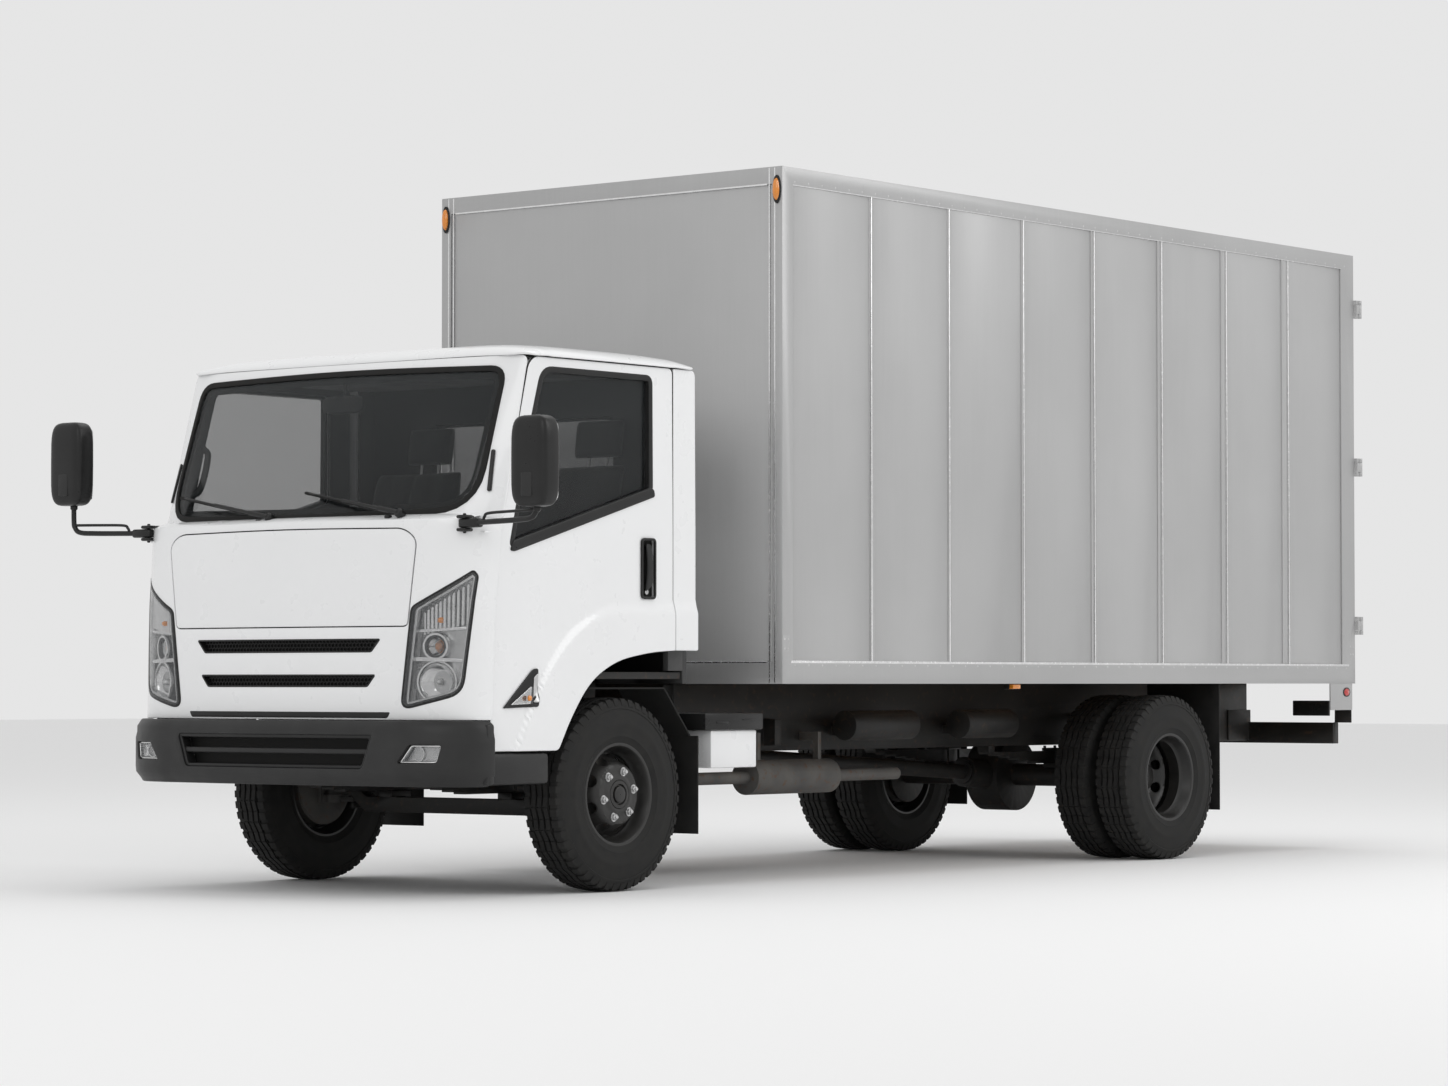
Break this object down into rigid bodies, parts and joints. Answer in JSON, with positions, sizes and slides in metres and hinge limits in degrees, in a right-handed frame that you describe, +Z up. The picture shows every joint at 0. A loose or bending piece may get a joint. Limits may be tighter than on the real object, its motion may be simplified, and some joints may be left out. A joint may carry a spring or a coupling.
{
  "type": "mail delivery truck",
  "caption": "Cab-over delivery truck with tilting cab, steering front wheels, twin rear wheels and a closed aluminium cargo box with rear doors.",
  "frame": {"origin": "on the ground, at the middle of the truck's length and width", "axes": "+Z up, -Y is the front of the truck, +X is the truck's left side"},
  "size_m": [2.84, 7.077, 3.1099],
  "materials": {
    "chassis_black": "satin",
    "engine_iron": "rough cast",
    "exhaust_steel": "dull",
    "cab_paint": "gloss",
    "black_plastic": "fine grain",
    "box_aluminium": "satin",
    "floor_wood": "sealed",
    "lock_steel": "zinc plated",
    "amber_lens": "moulded",
    "lamp_lens": "clear moulded",
    "tinted_glass": "polished",
    "seat_fabric": "woven",
    "tyre_rubber": "moulded",
    "wheel_black": "satin"
  },
  "bodies": {
    "chassis": {"chassis_frame": "chassis_black", "front_axle_beam": "chassis_black", "rear_axle_housing": "chassis_black", "suspension": "chassis_black", "engine_and_gearbox": "engine_iron", "exhaust_system": "exhaust_steel", "fuel_and_air_tanks": "chassis_black", "battery_box": "cab_paint", "mudguards": "black_plastic", "underrun_bar": "chassis_black", "box_floor": "floor_wood", "box_walls": "box_aluminium", "box_roof": "box_aluminium", "box_frame": "box_aluminium", "box_lamps": "amber_lens"},
    "cab": {"cab_floor": "cab_paint", "cab_back_wall": "cab_paint", "cab_roof": "cab_paint", "cab_pillars": "cab_paint", "cab_front_panel": "cab_paint", "cab_glass": "tinted_glass", "bumper": "black_plastic", "front_lamps": "lamp_lens", "dashboard": "black_plastic", "driver_seat": "seat_fabric", "passenger_seat": "seat_fabric"},
    "service_panel": {"service_panel": "cab_paint"},
    "steering_wheel": {"steering_wheel": "black_plastic"},
    "gear_lever": {"gear_lever": "black_plastic"},
    "brake_pedal": {"brake_pedal": "black_plastic"},
    "clutch_pedal": {"clutch_pedal": "black_plastic"},
    "accelerator_pedal": {"accelerator_pedal": "black_plastic"},
    "tie_rod": {"tie_rod": "chassis_black"},
    "propshaft": {"propshaft": "chassis_black"},
    "cab_door_left": {"cab_door_left": "cab_paint"},
    "door_glass_left": {"door_glass_left": "tinted_glass"},
    "door_handle_left": {"door_handle_left": "black_plastic"},
    "wiper_left": {"wiper_left": "black_plastic"},
    "mirror_arm_left": {"mirror_arm_left": "black_plastic"},
    "mirror_head_left": {"mirror_head_left": "black_plastic"},
    "knuckle_left": {"knuckle_left": "chassis_black"},
    "front_wheel_left": {"front_tyre_left": "tyre_rubber", "front_rim_left": "wheel_black"},
    "rear_wheel_left": {"rear_tyres_left": "tyre_rubber", "rear_rims_left": "wheel_black"},
    "cargo_door_left": {"cargo_door_left": "box_aluminium"},
    "lock_bar_left": {"lock_bar_left": "lock_steel"},
    "cab_door_right": {"cab_door_right": "cab_paint"},
    "door_glass_right": {"door_glass_right": "tinted_glass"},
    "door_handle_right": {"door_handle_right": "black_plastic"},
    "wiper_right": {"wiper_right": "black_plastic"},
    "mirror_arm_right": {"mirror_arm_right": "black_plastic"},
    "mirror_head_right": {"mirror_head_right": "black_plastic"},
    "knuckle_right": {"knuckle_right": "chassis_black"},
    "front_wheel_right": {"front_tyre_right": "tyre_rubber", "front_rim_right": "wheel_black"},
    "rear_wheel_right": {"rear_tyres_right": "tyre_rubber", "rear_rims_right": "wheel_black"},
    "cargo_door_right": {"cargo_door_right": "box_aluminium"},
    "lock_bar_right": {"lock_bar_right": "lock_steel"}
  },
  "joints": [
    {"name": "cab_tilt", "type": "hinge", "parent": "chassis", "child": "cab", "pos_m": [0, -3.2185, 0.6], "axis": [1, 0, 0], "range_deg": [0, 45]},
    {"name": "cab_door_hinge_left", "type": "hinge", "parent": "cab", "child": "cab_door_left", "pos_m": [0.97, -3.2525, 1.2], "axis": [0, 0, -1], "range_deg": [0, 70]},
    {"name": "door_glass_slide_left", "type": "slide", "parent": "cab_door_left", "child": "door_glass_left", "axis": [0, 0, -1], "range_m": [0, 0.4]},
    {"name": "door_handle_pull_left", "type": "hinge", "parent": "cab_door_left", "child": "door_handle_left", "pos_m": [0.98, -2.3065, 1.341], "axis": [0, 0, -1], "range_deg": [0, 20], "stiffness_Nm_per_rad": 2},
    {"name": "mirror_fold_left", "type": "hinge", "parent": "cab", "child": "mirror_arm_left", "pos_m": [0.905, -3.3485, 1.5], "axis": [0, 0, -1], "range_deg": [-55, 40]},
    {"name": "mirror_turn_left", "type": "hinge", "parent": "mirror_arm_left", "child": "mirror_head_left", "pos_m": [1.325, -3.3905, 1.732], "axis": [0, 0, -1], "range_deg": [-15, 15]},
    {"name": "steer_left", "type": "hinge", "parent": "chassis", "child": "knuckle_left", "pos_m": [0.715, -2.4185, 0.4025], "axis": [0, 0, 1], "range_deg": [-35, 35]},
    {"name": "front_wheel_spin_left", "type": "hinge", "parent": "knuckle_left", "child": "front_wheel_left", "pos_m": [0.8375, -2.4185, 0.4025], "axis": [1, 0, 0], "continuous": true},
    {"name": "rear_wheel_spin_left", "type": "hinge", "parent": "chassis", "child": "rear_wheel_left", "pos_m": [0.7975, 1.6815, 0.4025], "axis": [1, 0, 0], "continuous": true},
    {"name": "cargo_door_hinge_left", "type": "hinge", "parent": "chassis", "child": "cargo_door_left", "pos_m": [1.016, 3.5275, 2], "axis": [0, 0, -1], "range_deg": [0, 265]},
    {"name": "lock_bar_turn_left", "type": "hinge", "parent": "cargo_door_left", "child": "lock_bar_left", "pos_m": [0.15, 3.5035, 2], "axis": [0, 0, -1], "range_deg": [-90, 0]},
    {"name": "wipe_left", "type": "hinge", "parent": "cab", "child": "wiper_left", "pos_m": [0.6, -3.40273, 1.54601], "axis": [0, -0.9136, 0.4066], "range_deg": [-80, 0]},
    {"name": "cab_door_hinge_right", "type": "hinge", "parent": "cab", "child": "cab_door_right", "pos_m": [-0.97, -3.2525, 1.2], "axis": [0, 0, 1], "range_deg": [0, 70]},
    {"name": "door_glass_slide_right", "type": "slide", "parent": "cab_door_right", "child": "door_glass_right", "axis": [0, 0, -1], "range_m": [0, 0.4]},
    {"name": "door_handle_pull_right", "type": "hinge", "parent": "cab_door_right", "child": "door_handle_right", "pos_m": [-0.98, -2.3065, 1.341], "axis": [0, 0, 1], "range_deg": [0, 20], "stiffness_Nm_per_rad": 2},
    {"name": "mirror_fold_right", "type": "hinge", "parent": "cab", "child": "mirror_arm_right", "pos_m": [-0.905, -3.3485, 1.5], "axis": [0, 0, 1], "range_deg": [-55, 40]},
    {"name": "mirror_turn_right", "type": "hinge", "parent": "mirror_arm_right", "child": "mirror_head_right", "pos_m": [-1.325, -3.3905, 1.805], "axis": [0, 0, 1], "range_deg": [-15, 15]},
    {"name": "steer_right", "type": "hinge", "parent": "chassis", "child": "knuckle_right", "pos_m": [-0.715, -2.4185, 0.4025], "axis": [0, 0, 1], "range_deg": [-35, 35]},
    {"name": "front_wheel_spin_right", "type": "hinge", "parent": "knuckle_right", "child": "front_wheel_right", "pos_m": [-0.8375, -2.4185, 0.4025], "axis": [1, 0, 0], "continuous": true},
    {"name": "rear_wheel_spin_right", "type": "hinge", "parent": "chassis", "child": "rear_wheel_right", "pos_m": [-0.7975, 1.6815, 0.4025], "axis": [1, 0, 0], "continuous": true},
    {"name": "cargo_door_hinge_right", "type": "hinge", "parent": "chassis", "child": "cargo_door_right", "pos_m": [-1.016, 3.5275, 2], "axis": [0, 0, 1], "range_deg": [0, 265]},
    {"name": "lock_bar_turn_right", "type": "hinge", "parent": "cargo_door_right", "child": "lock_bar_right", "pos_m": [-0.15, 3.5035, 2], "axis": [0, 0, 1], "range_deg": [-90, 0]},
    {"name": "wipe_right", "type": "hinge", "parent": "cab", "child": "wiper_right", "pos_m": [-0.135, -3.40273, 1.54601], "axis": [0, -0.9136, 0.4066], "range_deg": [-80, 0]},
    {"name": "service_panel_hinge", "type": "hinge", "parent": "cab", "child": "service_panel", "pos_m": [0, -3.4495, 1.491], "axis": [-1, 0, 0], "range_deg": [0, 60]},
    {"name": "steering_wheel_turn", "type": "hinge", "parent": "cab", "child": "steering_wheel", "pos_m": [-0.455, -2.8485, 1.395], "axis": [0, 0.5736, 0.8192], "range_deg": [-540, 540]},
    {"name": "gear_lever_shift", "type": "hinge", "parent": "cab", "child": "gear_lever", "pos_m": [-0.11, -2.8385, 1.1263], "axis": [1, 0, 0], "range_deg": [-12, 12]},
    {"name": "clutch_pedal_press", "type": "hinge", "parent": "cab", "child": "clutch_pedal", "pos_m": [-0.565, -3.1785, 1.1156], "axis": [-1, 0, 0], "range_deg": [0, 18], "stiffness_Nm_per_rad": 20},
    {"name": "brake_pedal_press", "type": "hinge", "parent": "cab", "child": "brake_pedal", "pos_m": [-0.445, -3.1785, 1.1156], "axis": [-1, 0, 0], "range_deg": [0, 18], "stiffness_Nm_per_rad": 20},
    {"name": "accelerator_pedal_press", "type": "hinge", "parent": "cab", "child": "accelerator_pedal", "pos_m": [-0.335, -3.1785, 1.1156], "axis": [-1, 0, 0], "range_deg": [0, 18], "stiffness_Nm_per_rad": 20},
    {"name": "tie_rod_shift", "type": "slide", "parent": "chassis", "child": "tie_rod", "axis": [1, 0, 0], "range_m": [-0.08, 0.08]},
    {"name": "propshaft_spin", "type": "hinge", "parent": "chassis", "child": "propshaft", "pos_m": [0, 0.1015, 0.49025], "axis": [0, 0.9984, -0.0558], "continuous": true}
  ],
  "couplings": [
    {"joint": "steer_right", "follows": "steer_left", "ratio": 1},
    {"joint": "steering_wheel_turn", "follows": "steer_left", "ratio": 15.4},
    {"joint": "tie_rod_shift", "follows": "steer_left", "m_per_rad": -0.13},
    {"joint": "wipe_right", "follows": "wipe_left", "ratio": 1},
    {"joint": "rear_wheel_spin_right", "follows": "rear_wheel_spin_left", "ratio": 1},
    {"joint": "propshaft_spin", "follows": "rear_wheel_spin_left", "ratio": 5.8571}
  ]
}
